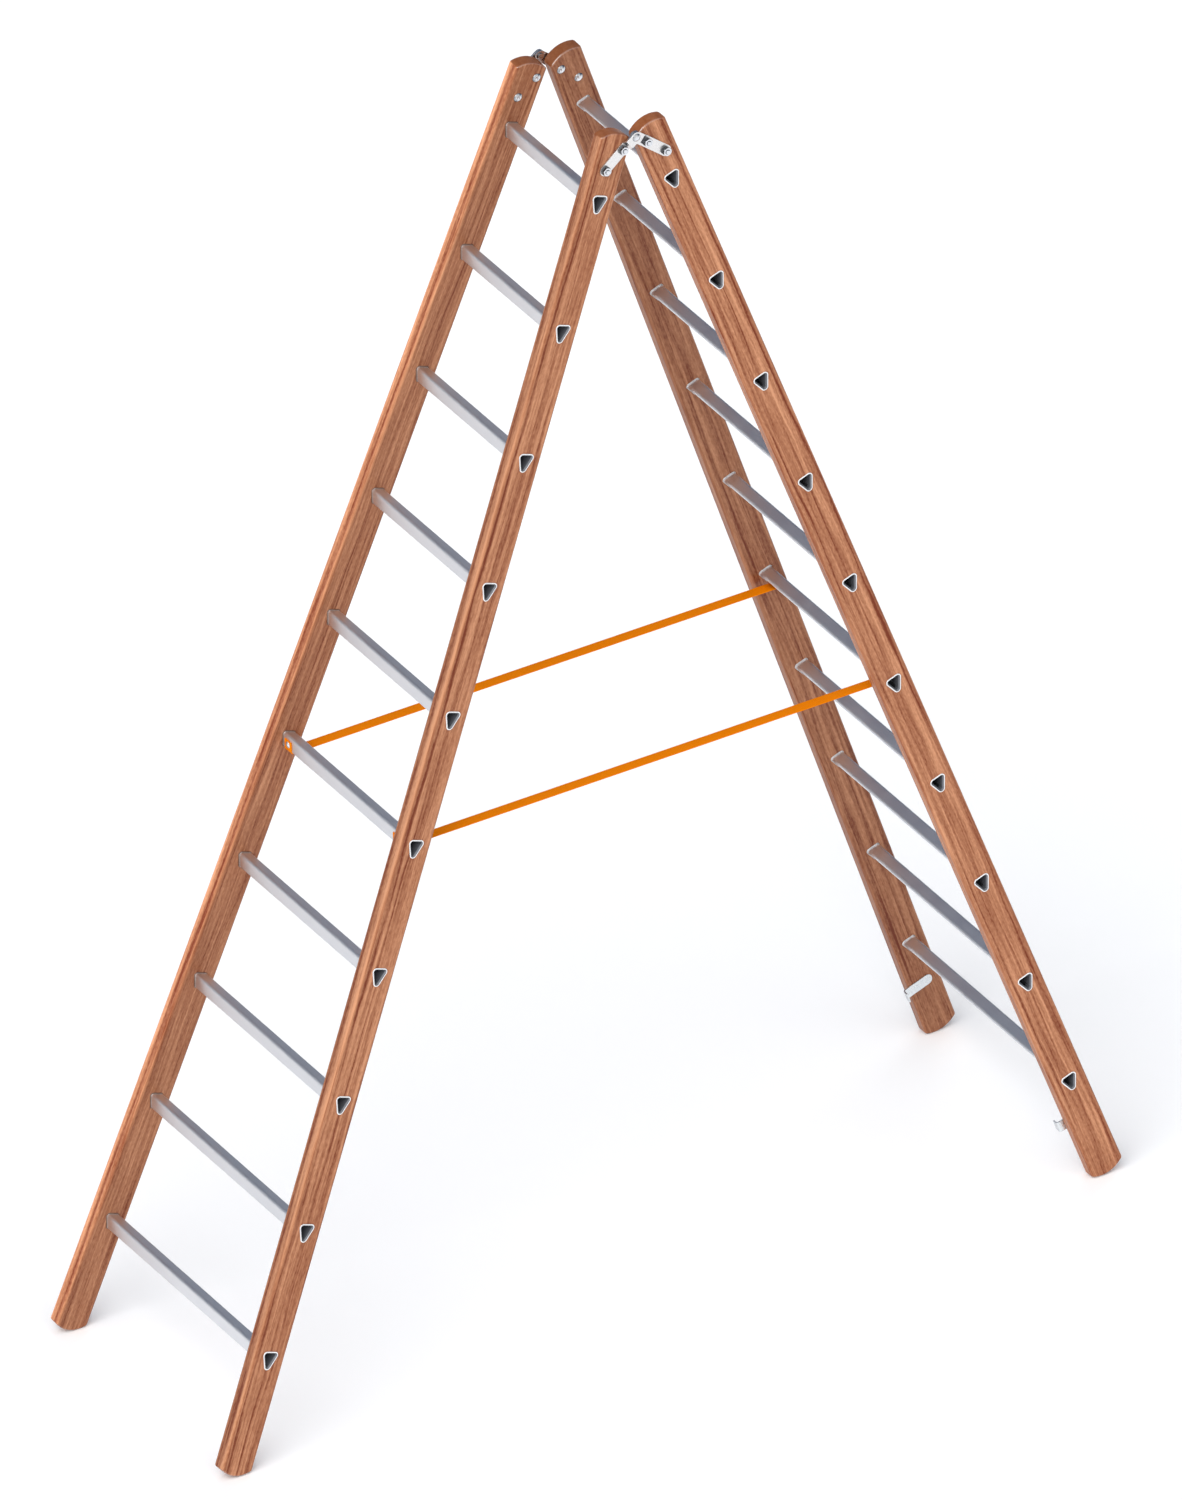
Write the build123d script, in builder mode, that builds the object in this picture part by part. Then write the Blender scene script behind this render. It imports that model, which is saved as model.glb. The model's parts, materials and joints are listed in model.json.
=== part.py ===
from build123d import *
import os
from math import atan2, cos, degrees, hypot, radians, sin, sqrt, tan

# A double-sided timber stepladder. Two tapered ladder sections of timber stiles and hollow
# three-cornered aluminium rungs lean on each other, turn on a riveted strap hinge at each side
# and are kept from sliding apart by two webbing straps.
#
# X runs along the rungs, Y from the left section to the right one and Z up from the floor.
# The origin is on the floor, midway between the four feet. Millimetres and degrees.

# Ladder sections
lean = 20.0                   # each section from upright, when open
taper = 3.065                 # each stile from the section's middle line
top_width = 343.4             # outside width at the hinge axis
rung_count = 10
rung_pitch = 280.0            # along the section
first_rung_drop = 149.4       # hinge axis to the first rung, along the section
foot_reach = 257.3            # last rung to the end of the foot, along the section

# Stiles
stile_thickness = 31.0
stile_depth = 76.0
stile_round = 6.0             # along the four long edges
end_crown = 13.6              # rise of the rounded ends
end_round = 4.0               # around the edge of the rounded ends
closing_gap = 1.0             # between facing stiles when folded

# Rungs
rung_width = 28.5
rung_height = 33.5
rung_crest = 14.7             # tread above the rung's axis
rung_corner = 4.75            # outside radius of the three corners
rung_wall = 1.6
mortise_clearance = 0.15
rim_lip = 3.6                 # the swaged rim covers this much of the stile's outer face
rim_thickness = 1.8
rim_round = 0.8
collar_lip = 2.0              # the bead on the stile's inner face
collar_thickness = 1.2

# Strap hinges
leaf_angle = 31.7             # leaf from the stile's length
leaf_width = 24.0
leaf_thickness = 4.0
eye_diameter = 24.0
eye_clearance = 2.4           # inner eye to the timber, room for the rivet's tail
eye_gap = 0.3                 # between the two eyes
neck_clearance = 0.7
crank_length = 6.0            # the bend from the eye's level to the stile's face
bolt_land = 10.0              # end of the bend to the first bolt
bolt_spacing = 54.0
pin_diameter = 8.0            # hinge rivet
pin_clearance = 0.1
pin_head_diameter = 18.0
pin_head_height = 4.0
pin_tail_diameter = 14.0
pin_tail_height = 3.0
pin_timber_clearance = 1.6    # rivet tail to the stiles' rounded tops
bolt_diameter = 10.0
bolt_clearance = 0.15
bolt_head_diameter = 20.0
bolt_head_height = 5.0
bolt_end = 2.0                # thread past the nut
nut_width = 17.0              # across the flats
nut_height = 8.0
nut_chamfer = 1.0
bolt_chamfer = 1.0

# Webbing straps
strap_rung = 6                # counted from the top
strap_width = 25.0
strap_thickness = 2.0
strap_inset = 7.5             # from the stile's inner face
strap_clearance = 0.25        # webbing to rung
strap_end = 21.0              # webbing up the rung's flank
rivet_height = 11.0           # strap rivet up the rung's flank
rivet_diameter = 4.8
rivet_clearance = 0.15
rivet_head_diameter = 15.0
rivet_head_height = 2.8
rivet_tail_diameter = 8.0
rivet_tail_height = 3.0

# Guide plates, low on the right section
plate_width = 25.0
plate_thickness = 2.5
plate_drop = 111.5            # last rung to the plate's middle line
plate_reach = 17.0            # plate's rounded end past the middle of the stile
plate_lead = 5.0              # lead-in begins before the stile's inward edge
plate_flare = 4.0             # lead-in from the plate
flare_radius = 60.0           # in the middle of the sheet
lip_length = 9.5              # straight part of the lead-in
flange_radius = 4.0           # in the middle of the sheet
flange_length = 10.5          # straight part, turned to the ladder's middle
plate_tip = 2.5               # flat left across the rounded end
flange_corner = 3.0
screw_spacing = 30.0
screw_end = 9.0               # first screw from the plate's rounded end
screw_diameter = 4.5
screw_head_diameter = 9.0
screw_length = 24.0
screw_clearance = 0.1
sink_angle = 90.0

# Worked-out sizes of the stiles and their rounded ends
inward_edge = closing_gap / 2
stile_middle = inward_edge + stile_depth / 2
outward_edge = inward_edge + stile_depth
half_depth = stile_depth / 2
end_radius = (half_depth**2 + end_crown**2) / (2 * end_crown)
pin_room = end_radius + pin_tail_diameter / 2 + pin_timber_clearance
stile_top = end_radius - sqrt(pin_room**2 - stile_middle**2)
last_rung_drop = first_rung_drop + (rung_count - 1) * rung_pitch
stile_foot = -(last_rung_drop + foot_reach) / cos(radians(taper))

# The hinge axis is as high as the leaning feet put it
sin_lean, cos_lean = sin(radians(lean)), cos(radians(lean))
sin_taper, cos_taper = sin(radians(taper)), cos(radians(taper))
foot_centre = (end_round - stile_thickness) * sin_taper * cos_lean
foot_centre += stile_middle * sin_lean
foot_centre += (stile_foot + end_radius) * cos_taper * cos_lean
foot_drop = (end_radius - end_round) * hypot(sin_lean, cos_taper * cos_lean) + end_round
pivot_height = foot_drop - foot_centre

# The right section: x along the rungs, y outward from the hinge axis, z up the section
pivot = Vector(0, 0, pivot_height)
right = Plane(pivot, x_dir=(1, 0, 0), z_dir=(0, -sin_lean, cos_lean))

# Its near stile: x out of the outer face, y outward, z up the stile from the hinge axis
near = Plane(
    right.from_local_coords((top_width / 2, 0, 0)),
    x_dir=right.x_dir * cos_taper + right.z_dir * sin_taper,
    z_dir=right.z_dir * cos_taper - right.x_dir * sin_taper,
)

# Hinge levels along X, from the timber outward
inner_eye = top_width / 2 + tan(radians(taper)) * eye_diameter / 2 + eye_clearance
outer_eye = inner_eye + leaf_thickness + eye_gap
closed_neck = leaf_width / 2 / tan(radians(leaf_angle))
neck_reach = max(eye_diameter / 2, closed_neck) + neck_clearance
strap_start = neck_reach + crank_length
bolt_reaches = (strap_start + bolt_land, strap_start + bolt_land + bolt_spacing)

# The rung's three corners, as (outward, up) from its axis
corner_out = rung_width / 2 - rung_corner
corner_up = rung_crest - rung_corner
corner_down = rung_crest - rung_height + rung_corner
corners = ((-corner_out, corner_up), (corner_out, corner_up), (0, corner_down))
flank = degrees(atan2(corner_out, corner_up - corner_down))

# The bead on the inner face slopes down into the rung's wall, so nothing overhangs the tread
collar_slope = degrees(atan2(collar_lip + rung_wall / 2, collar_thickness))


def rung_drop(number):
    return first_rung_drop + (number - 1) * rung_pitch


def half_width(drop):
    return top_width / 2 + tan(radians(taper)) * drop


# The straps lie beside the stiles' inner faces
strap_middle = half_width(rung_drop(strap_rung)) - stile_thickness / cos_taper
strap_middle -= strap_inset + strap_width / 2


def rung_plane(number, reach):
    """Plane across a rung, at a distance from the middle: x outward, y up the section."""
    point = right.from_local_coords((reach, stile_middle, -rung_drop(number)))
    return Plane(point, x_dir=right.y_dir, z_dir=right.x_dir)


def face_plane(number, inset=0.0):
    """Plane on the near stile, where a rung's axis goes through it, facing outward."""
    reach = half_width(rung_drop(number)) - inset / cos_taper
    point = right.from_local_coords((reach, stile_middle, -rung_drop(number)))
    return Plane(point, x_dir=near.y_dir, z_dir=near.x_dir)


def rung_outline(plane, growth=0.0):
    """Three-cornered outline of the rung, grown or shrunk all round."""
    with BuildSketch(plane) as outline:
        with Locations(*corners):
            Circle(rung_corner + growth)
        make_hull()
    return outline.sketch


def leaf_plane(frame, x):
    """Plane of a hinge leaf: x from the hinge axis along the leaf, z out of the stile."""
    along = frame.y_dir * sin(radians(leaf_angle)) - frame.z_dir * cos(radians(leaf_angle))
    return Plane(frame.from_local_coords((x, 0, 0)), x_dir=along, z_dir=frame.x_dir)


def bolt_planes(height):
    """Planes at the hinge bolts, at a height over the near stile's outer face."""
    leaf = leaf_plane(near, height)
    points = [leaf.from_local_coords((reach, 0, 0)) for reach in bolt_reaches]
    return [Plane(point, x_dir=leaf.x_dir, z_dir=leaf.z_dir) for point in points]


def flank_plane(x, up, height):
    """Plane on the outward flank of the strap's rung: y up the flank, z outward."""
    side = right.y_dir * sin(radians(flank)) + right.z_dir * cos(radians(flank))
    out = right.y_dir * cos(radians(flank)) - right.z_dir * sin(radians(flank))
    corner = rung_plane(strap_rung, x).from_local_coords((0, corner_down, 0))
    point = corner + out * (rung_corner + height) + side * up
    return Plane(point, x_dir=(-1, 0, 0), z_dir=out)


def plate_plane(depth):
    """Plane on the near stile's inner face at the guide plate: x inward, z to the middle."""
    drop = (last_rung_drop + plate_drop) / cos_taper
    point = near.from_local_coords((-stile_thickness, depth, -drop))
    return Plane(point, x_dir=near.y_dir * -1, z_dir=near.x_dir * -1)


def domed_pin(seat, head, shank, tail=(0, 0)):
    """Round pin with a domed head on the seat, given as (diameter, length) pairs."""
    radius, rise = head[0] / 2, head[1]
    ball = (radius**2 + rise**2) / (2 * rise)
    end = -shank[1] - tail[1]
    points = [(0, rise), (0, end)]
    if tail[1] > 0:
        points += [(tail[0] / 2, end), (tail[0] / 2, -shank[1]), (shank[0] / 2, -shank[1])]
    else:
        points += [(shank[0] / 2 - bolt_chamfer, end), (shank[0] / 2, end + bolt_chamfer)]
    points += [(shank[0] / 2, 0), (radius, 0)]
    with BuildPart() as pin:
        with BuildSketch(Plane(seat.origin, x_dir=seat.x_dir, z_dir=seat.y_dir * -1)):
            with BuildLine():
                Polyline(*points)
                RadiusArc((radius, 0), (0, rise), -ball)
            make_face()
        revolve(axis=Axis(seat.origin, seat.z_dir))
    return pin.part


def countersunk_screw(seat):
    """Wood screw whose flat head is flush with the seat."""
    head, shank = screw_head_diameter / 2, screw_diameter / 2
    cone = (head - shank) / tan(radians(sink_angle / 2))
    with BuildPart() as screw:
        with BuildSketch(Plane(seat.origin, x_dir=seat.x_dir, z_dir=seat.y_dir * -1)):
            with BuildLine():
                Polyline(
                    (0, 0),
                    (head, 0),
                    (shank, -cone),
                    (shank, -screw_length + shank),
                    (0, -screw_length),
                    close=True,
                )
            make_face()
        revolve(axis=Axis(seat.origin, seat.z_dir))
    return screw.part


def stile(with_plate):
    """Near stile of the right section, with holes for its rungs, bolts and plate screws."""
    side = Plane(near.origin, x_dir=near.y_dir, z_dir=near.x_dir)
    with BuildPart() as timber:
        with BuildSketch(side):
            with BuildLine():
                top = ThreePointArc(
                    (inward_edge, stile_top - end_crown),
                    (stile_middle, stile_top),
                    (outward_edge, stile_top - end_crown),
                )
                foot = ThreePointArc(
                    (inward_edge, stile_foot + end_crown),
                    (stile_middle, stile_foot),
                    (outward_edge, stile_foot + end_crown),
                )
                Line(top @ 0, foot @ 0)
                Line(top @ 1, foot @ 1)
            make_face()
        extrude(amount=-stile_thickness)
        length = Axis(near.origin, near.z_dir)
        fillet(timber.edges().filter_by(length), stile_round)
        ends = timber.faces().sort_by(length)
        fillet(ends[0].edges() + ends[-1].edges(), end_round)
        for number in range(1, rung_count + 1):
            mortise = rung_outline(rung_plane(number, 0), mortise_clearance)
            extrude(mortise, amount=half_width(rung_drop(number)) * 2, mode=Mode.SUBTRACT)
        with Locations(*bolt_planes(0)):
            Hole(bolt_diameter / 2 + bolt_clearance)
        if with_plate:
            with Locations(*screw_planes(0)):
                Hole(screw_diameter / 2 + screw_clearance, screw_length)
    return timber.part


def rung(number):
    """Rung of the right section: a tube, swaged over both faces of both stiles."""
    rim = face_plane(number).offset(rim_thickness)
    length = half_width(rung_drop(number)) * 2
    with BuildPart() as tube:
        extrude(rung_outline(rung_plane(number, 0)), amount=length)
        split(bisect_by=rim, keep=Keep.BOTTOM)
        extrude(rung_outline(face_plane(number), rim_lip), amount=rim_thickness)
        extrude(
            rung_outline(face_plane(number, stile_thickness), collar_lip),
            amount=-collar_thickness,
            taper=collar_slope,
        )
        mirror(about=Plane.YZ)
        bore = rung_outline(rung_plane(number, 0), -rung_wall)
        extrude(bore, amount=length, both=True, mode=Mode.SUBTRACT)
        ends = tube.faces().sort_by(Axis.X)
        fillet(ends[0].outer_wire().edges() + ends[-1].outer_wire().edges(), rim_round)
        if number == strap_rung:
            rivet_holes = [flank_plane(x, rivet_height, 0) for x in (strap_middle, -strap_middle)]
            with Locations(*rivet_holes):
                Hole(rivet_diameter / 2 + rivet_clearance, rung_wall * 2)
    return tube.part


def hinge_leaf(level):
    """Strap leaf of the right section's near hinge, with its eye at a level along X."""
    eye, strap = leaf_plane(right, level), leaf_plane(near, 0)
    strap_length = bolt_reaches[1] - strap_start
    middle = leaf_thickness / 2
    eye_end = Plane(
        eye.from_local_coords((neck_reach, 0, middle)), x_dir=eye.y_dir, z_dir=eye.x_dir
    )
    strap_end_plane = Plane(
        strap.from_local_coords((strap_start, 0, middle)), x_dir=strap.y_dir, z_dir=strap.x_dir
    )
    with BuildPart() as leaf:
        with BuildSketch(eye):
            Circle(eye_diameter / 2)
            with Locations((neck_reach / 2, 0)):
                Rectangle(neck_reach, leaf_width)
        extrude(amount=leaf_thickness)
        with BuildSketch(strap):
            with Locations((strap_start + strap_length / 2, 0)):
                Rectangle(strap_length, leaf_width)
            with Locations((bolt_reaches[1], 0)):
                Circle(leaf_width / 2)
        extrude(amount=leaf_thickness)
        with BuildSketch(eye_end):
            Rectangle(leaf_width, leaf_thickness)
        with BuildSketch(strap_end_plane):
            Rectangle(leaf_width, leaf_thickness)
        loft(ruled=True)
        with Locations(eye.offset(leaf_thickness)):
            Hole(pin_diameter / 2 + pin_clearance)
        with Locations(*bolt_planes(leaf_thickness)):
            Hole(bolt_diameter / 2 + bolt_clearance)
    return leaf.part


def hinge_bolts():
    """Two domed bolts through the near stile and its leaf, with their heads inside."""
    length = stile_thickness + leaf_thickness + nut_height + bolt_end
    with BuildPart() as bolts:
        for plane in bolt_planes(-stile_thickness):
            seat = Plane(plane.origin, x_dir=plane.x_dir, z_dir=plane.z_dir * -1)
            head = (bolt_head_diameter, bolt_head_height)
            add(domed_pin(seat, head, (bolt_diameter, length)))
    return bolts.part


def hexagon_nut(seat):
    """Hexagon nut on its seat, its corners chamfered on the outside."""
    up = Axis(seat.origin, seat.z_dir)
    with BuildPart() as nut:
        with BuildSketch(seat):
            Circle(nut_width / sqrt(3))
        extrude(amount=nut_height)
        chamfer(nut.edges().filter_by(GeomType.CIRCLE).sort_by(up)[-1], nut_chamfer)
        with BuildSketch(seat):
            RegularPolygon(nut_width / 2, 6, major_radius=False)
        extrude(amount=nut_height, mode=Mode.INTERSECT)
        with Locations(seat.offset(nut_height)):
            Hole(bolt_diameter / 2 + bolt_clearance)
    return nut.part


def hinge_nuts():
    """Two nuts on the near leaf."""
    with BuildPart() as nuts:
        for seat in bolt_planes(leaf_thickness):
            add(hexagon_nut(seat))
    return nuts.part


def hinge_rivet():
    """Rivet through both eyes of the near hinge, clenched behind the inner eye."""
    seat = outer_eye + leaf_thickness + pin_clearance
    point = right.from_local_coords((seat, 0, 0))
    head = (pin_head_diameter, pin_head_height)
    shank = (pin_diameter, seat - inner_eye)
    tail = (pin_tail_diameter, pin_tail_height)
    return domed_pin(Plane(point, x_dir=right.y_dir, z_dir=right.x_dir), head, shank, tail)


def webbing_strap():
    """Near strap: taut between the two rungs, turned up each outward flank."""
    layer = strap_clearance + strap_thickness / 2
    corner = rung_plane(strap_rung, strap_middle).from_local_coords((0, corner_down, 0))
    bottom = corner - Vector(0, 0, rung_corner + layer)
    flank_start = flank_plane(strap_middle, 0, layer)
    flank_end = flank_plane(strap_middle, strap_end, layer)
    start = Vector(strap_middle, 0, bottom.Z)
    with BuildPart() as strap:
        with BuildLine() as run:
            Line(start, bottom)
            TangentArc(bottom, flank_start.origin, tangent=(0, 1, 0))
            Line(flank_start.origin, flank_end.origin)
        with BuildSketch(Plane(start, x_dir=(1, 0, 0), z_dir=(0, 1, 0))):
            Rectangle(strap_width, strap_thickness)
        sweep(path=run.line)
        with Locations(flank_plane(strap_middle, rivet_height, layer + strap_thickness / 2)):
            Hole(rivet_diameter / 2 + rivet_clearance, strap_thickness * 2)
        mirror(about=Plane.XZ)
    return strap.part


def strap_rivets():
    """Two rivets that hold the straps to the right section's rung."""
    grip = strap_clearance + strap_thickness
    head = (rivet_head_diameter, rivet_head_height)
    tail = (rivet_tail_diameter, rivet_tail_height)
    with BuildPart() as rivets:
        for x in (strap_middle, -strap_middle):
            seat = flank_plane(x, rivet_height, grip)
            add(domed_pin(seat, head, (rivet_diameter, grip + rung_wall), tail))
    return rivets.part


def screw_planes(height):
    """Planes at the guide plate's screws, at a height over the stile's inner face."""
    depth = stile_middle + plate_reach - screw_end
    planes = [plate_plane(depth), plate_plane(depth - screw_spacing)]
    return [plane.offset(height) for plane in planes]


def guide_plate():
    """Sheet plate on the near stile's inner face: it leads the other stile in, and ends in a flange."""
    start = plate_plane(stile_middle + plate_reach)
    lead = stile_middle + plate_reach - inward_edge - plate_lead
    middle = plate_thickness / 2
    with BuildPart() as plate:
        with BuildSketch(Plane(start.origin, x_dir=start.x_dir, z_dir=start.y_dir * -1)):
            with BuildLine():
                flat = Line((0, middle), (lead, middle))
                flare = JernArc(flat @ 1, flat % 1, flare_radius, plate_flare)
                lip = PolarLine(flare @ 1, lip_length, direction=flare % 1)
                turn = JernArc(lip @ 1, lip % 1, flange_radius, 90 - plate_flare)
                PolarLine(turn @ 1, flange_length, direction=turn % 1)
            trace(line_width=plate_thickness)
        extrude(amount=plate_width / 2, both=True)
        end = plate.faces().sort_by(Axis(start.origin, start.x_dir))[0]
        fillet(end.edges().group_by(SortBy.LENGTH)[0], (plate_width - plate_tip) / 2)
        tip = plate.faces().sort_by(Axis(start.origin, start.z_dir))[-1]
        fillet(tip.edges().group_by(SortBy.LENGTH)[0], flange_corner)
        with Locations(*screw_planes(plate_thickness)):
            CounterSinkHole(
                screw_diameter / 2 + screw_clearance,
                screw_head_diameter / 2 + screw_clearance,
                counter_sink_angle=sink_angle,
            )
    return plate.part


def plate_screws():
    """Two countersunk screws that hold the near guide plate."""
    with BuildPart() as screws:
        for seat in screw_planes(plate_thickness):
            add(countersunk_screw(seat))
    return screws.part


def mirrored(shape, about):
    with BuildPart() as image:
        mirror(shape, about=about)
    return image.part


def write(shape, name):
    shape.label = name
    export_step(shape, f"parts/{name}.step")


def write_near_and_far(shape, name):
    """Write a piece of the near side and its mirror image of the far side."""
    write(shape, name.format("near"))
    write(mirrored(shape, Plane.YZ), name.format("far"))


def write_left_and_right(shape, name):
    """Write a piece of the right section and its mirror image of the left one."""
    write(shape, name.format("right"))
    write(mirrored(shape, Plane.XZ), name.format("left"))


os.makedirs("parts", exist_ok=True)

write_near_and_far(stile(True), "right_{}_stile")
write_near_and_far(mirrored(stile(False), Plane.XZ), "left_{}_stile")
for rung_number in range(1, rung_count + 1):
    write_left_and_right(rung(rung_number), "{}_rung_" + f"{rung_number:02d}")
write_near_and_far(hinge_leaf(inner_eye), "right_{}_hinge_leaf")
write_near_and_far(mirrored(hinge_leaf(outer_eye), Plane.XZ), "left_{}_hinge_leaf")
write_near_and_far(hinge_rivet(), "{}_hinge_rivet")
for near_group, group_name in ((hinge_bolts(), "hinge_bolts"), (hinge_nuts(), "hinge_nuts")):
    write_near_and_far(near_group, "right_{}_" + group_name)
    write_near_and_far(mirrored(near_group, Plane.XZ), "left_{}_" + group_name)
write_near_and_far(webbing_strap(), "{}_strap")
write_left_and_right(strap_rivets(), "{}_strap_rivets")
write_near_and_far(guide_plate(), "{}_guide_plate")
write_near_and_far(plate_screws(), "{}_plate_screws")
print("hinge axis", round(pivot_height, 2), "mm above the floor")
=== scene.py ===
"""Dress a double-sided timber stepladder around its packed construction model.

The construction model holds every rigid piece at its real size. This script gives each piece its
finish, flares the mouths of the rungs, weaves the two webbing straps, and sets the floor, the
light and the camera. All lengths are in metres and all angles in degrees, unless a name says
otherwise.
"""

from __future__ import annotations

import json
import logging
import math
from dataclasses import dataclass
from enum import Enum
from typing import Any

import bmesh
import bpy
from bmesh.types import BMesh, BMFace, BMVert
from bpy.types import Material, Node, NodeSocket, NodeTree, Object
from mathutils import Matrix, Vector

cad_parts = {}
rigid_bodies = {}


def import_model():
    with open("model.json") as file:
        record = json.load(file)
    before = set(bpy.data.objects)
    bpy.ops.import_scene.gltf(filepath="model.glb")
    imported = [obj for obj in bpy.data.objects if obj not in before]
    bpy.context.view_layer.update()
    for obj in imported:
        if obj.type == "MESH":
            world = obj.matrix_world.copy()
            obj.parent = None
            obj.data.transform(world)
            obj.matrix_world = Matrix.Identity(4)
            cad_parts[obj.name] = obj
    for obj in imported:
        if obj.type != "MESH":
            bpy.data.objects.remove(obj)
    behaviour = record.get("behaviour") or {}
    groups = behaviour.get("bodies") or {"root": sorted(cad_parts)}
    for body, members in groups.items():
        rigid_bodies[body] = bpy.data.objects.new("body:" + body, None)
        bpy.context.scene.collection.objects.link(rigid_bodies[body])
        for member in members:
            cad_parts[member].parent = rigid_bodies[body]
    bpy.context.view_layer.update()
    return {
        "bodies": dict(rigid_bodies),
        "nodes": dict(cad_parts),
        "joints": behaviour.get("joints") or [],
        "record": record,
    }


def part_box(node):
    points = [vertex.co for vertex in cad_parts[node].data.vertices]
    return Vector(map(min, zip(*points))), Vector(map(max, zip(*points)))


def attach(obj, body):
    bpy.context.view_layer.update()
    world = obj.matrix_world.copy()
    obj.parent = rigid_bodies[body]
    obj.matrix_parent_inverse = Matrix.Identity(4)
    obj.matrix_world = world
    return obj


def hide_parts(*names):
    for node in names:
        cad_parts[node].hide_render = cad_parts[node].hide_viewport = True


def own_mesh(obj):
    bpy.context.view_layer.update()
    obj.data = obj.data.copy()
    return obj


Range = tuple[float, float]
Triple = tuple[float, float, float]

LOG = logging.getLogger("stepladder")
MM = 0.001
AXIS_X: Triple = (1.0, 0.0, 0.0)
AXIS_Y: Triple = (0.0, 1.0, 0.0)
AXIS_Z: Triple = (0.0, 0.0, 1.0)
# Middle of a range from 0 to 1: of a pattern's values, and of a piece's own coordinates.
MIDDLE = 0.5
# Sockets of Blender's Mix node when it mixes colours, three inputs and the output.
MIX_SHARE, MIX_FROM, MIX_TO = 0, 6, 7
MIXED = 2
# Cosine of a face's turn from a rough direction, within which it counts as looking that way.
ROUGHLY_ALONG = 0.9
# Blender's noise keeps to about a fifth on each side of one half.
NOISE_SWING: Range = (0.3, 0.7)
# A streak is as wide as half a wave of the noise that draws it.
WAVES_IN_STREAK = 0.5
# Length of one wave of Blender's wave texture at a scale of one.
WAVE_LENGTH = math.tau / 20


class Side(Enum):
    """The two ladder sections, as seen in the photograph."""

    LEFT = "left"
    RIGHT = "right"

    @property
    def body(self) -> str:
        """Name of the body that this section's pieces ride on."""
        return f"{self.value}_section"

    @property
    def outward(self) -> int:
        """Sign of Y away from the other section."""
        return 1 if self is Side.RIGHT else -1


class Flank(Enum):
    """The two ends of the rungs: near the camera and far from it."""

    NEAR = "near"
    FAR = "far"

    @property
    def sign(self) -> int:
        """Sign of X at this end."""
        return 1 if self is Flank.NEAR else -1


def linear(hex_colour: str) -> tuple[float, float, float, float]:
    """Turn an sRGB hex colour into a linear one.

    Args:
        hex_colour: Six hex digits after a hash sign.

    Returns:
        Linear red, green, blue and an alpha of one.
    """
    channels = []
    for start in (1, 3, 5):
        value = int(hex_colour[start : start + 2], 16) / 255
        channels.append(value / 12.92 if value <= 0.04045 else ((value + 0.055) / 1.055) ** 2.4)
    return (channels[0], channels[1], channels[2], 1.0)


def add_node(
    tree: NodeTree, kind: str, inputs: dict[str | int, Any] | None = None, **settings: Any
) -> Node:
    """Add a node with its settings, values and links.

    Args:
        tree: The node tree that gets the node.
        kind: Blender's name for the kind of node.
        inputs: Values for input sockets, or output sockets to link to them.
        **settings: Properties of the node itself.

    Returns:
        The new node.
    """
    node = tree.nodes.new(kind)
    for name, value in settings.items():
        setattr(node, name, value)
    for name, value in (inputs or {}).items():
        if isinstance(value, NodeSocket):
            tree.links.new(value, node.inputs[name])
        else:
            node.inputs[name].default_value = value
    return node


def set_ramp(node: Node, stops: list[tuple[float, tuple[float, ...]]]) -> None:
    """Give a colour ramp its stops.

    Args:
        node: The colour ramp node.
        stops: Position and linear colour of each stop, from low to high.
    """
    elements = node.color_ramp.elements
    while len(elements) < len(stops):
        elements.new(1.0)
    for element, (position, colour) in zip(elements, stops):
        element.position = position
        element.color = colour


def facing(
    tree: NodeTree, coords: Node, direction: Vector | Triple, turn: Range, either_way: bool = True
) -> NodeSocket:
    """Tell faces that look along a direction from the others.

    Args:
        tree: The node tree.
        coords: The texture coordinate node.
        direction: The direction.
        turn: Where the change starts and ends, as the cosine of the angle between them.
        either_way: Whether faces that look the opposite way count too.

    Returns:
        Socket with 1 on the faces along the direction, and 0 on the others.
    """
    along = add_node(
        tree,
        "ShaderNodeVectorMath",
        {0: coords.outputs["Normal"], 1: direction},
        operation="DOT_PRODUCT",
    ).outputs["Value"]
    if either_way:
        along = add_node(tree, "ShaderNodeMath", {0: along}, operation="ABSOLUTE").outputs["Value"]
    return add_node(
        tree, "ShaderNodeMapRange", {"Value": along, "From Min": turn[0], "From Max": turn[1]}
    ).outputs["Result"]


def new_material(name: str) -> tuple[Material, NodeTree, Node]:
    """Make a material that holds one principled shader.

    Args:
        name: Name of the material.

    Returns:
        The material, its node tree and its shader node.
    """
    material = bpy.data.materials.new(name)
    material.use_nodes = True
    tree = material.node_tree
    return material, tree, tree.nodes["Principled BSDF"]


def make_object(name: str, mesh: BMesh, material: Material) -> Object:
    """Put a finished mesh into the scene.

    Args:
        name: Name of the object.
        mesh: Its mesh, which is freed.
        material: Its finish.

    Returns:
        The object.
    """
    data = bpy.data.meshes.new(name)
    mesh.to_mesh(data)
    mesh.free()
    data.materials.append(material)
    made = bpy.data.objects.new(name, data)
    bpy.context.scene.collection.objects.link(made)
    return made


def dress(frame: dict[str, Any], name: str, material: Material) -> None:
    """Give a piece of the construction model its finish.

    Args:
        frame: The loaded frame.
        name: Name of the node.
        material: The finish.
    """
    frame["nodes"][name].material_slots[0].material = material
    LOG.info("%s has %s", name, material.name)


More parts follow.
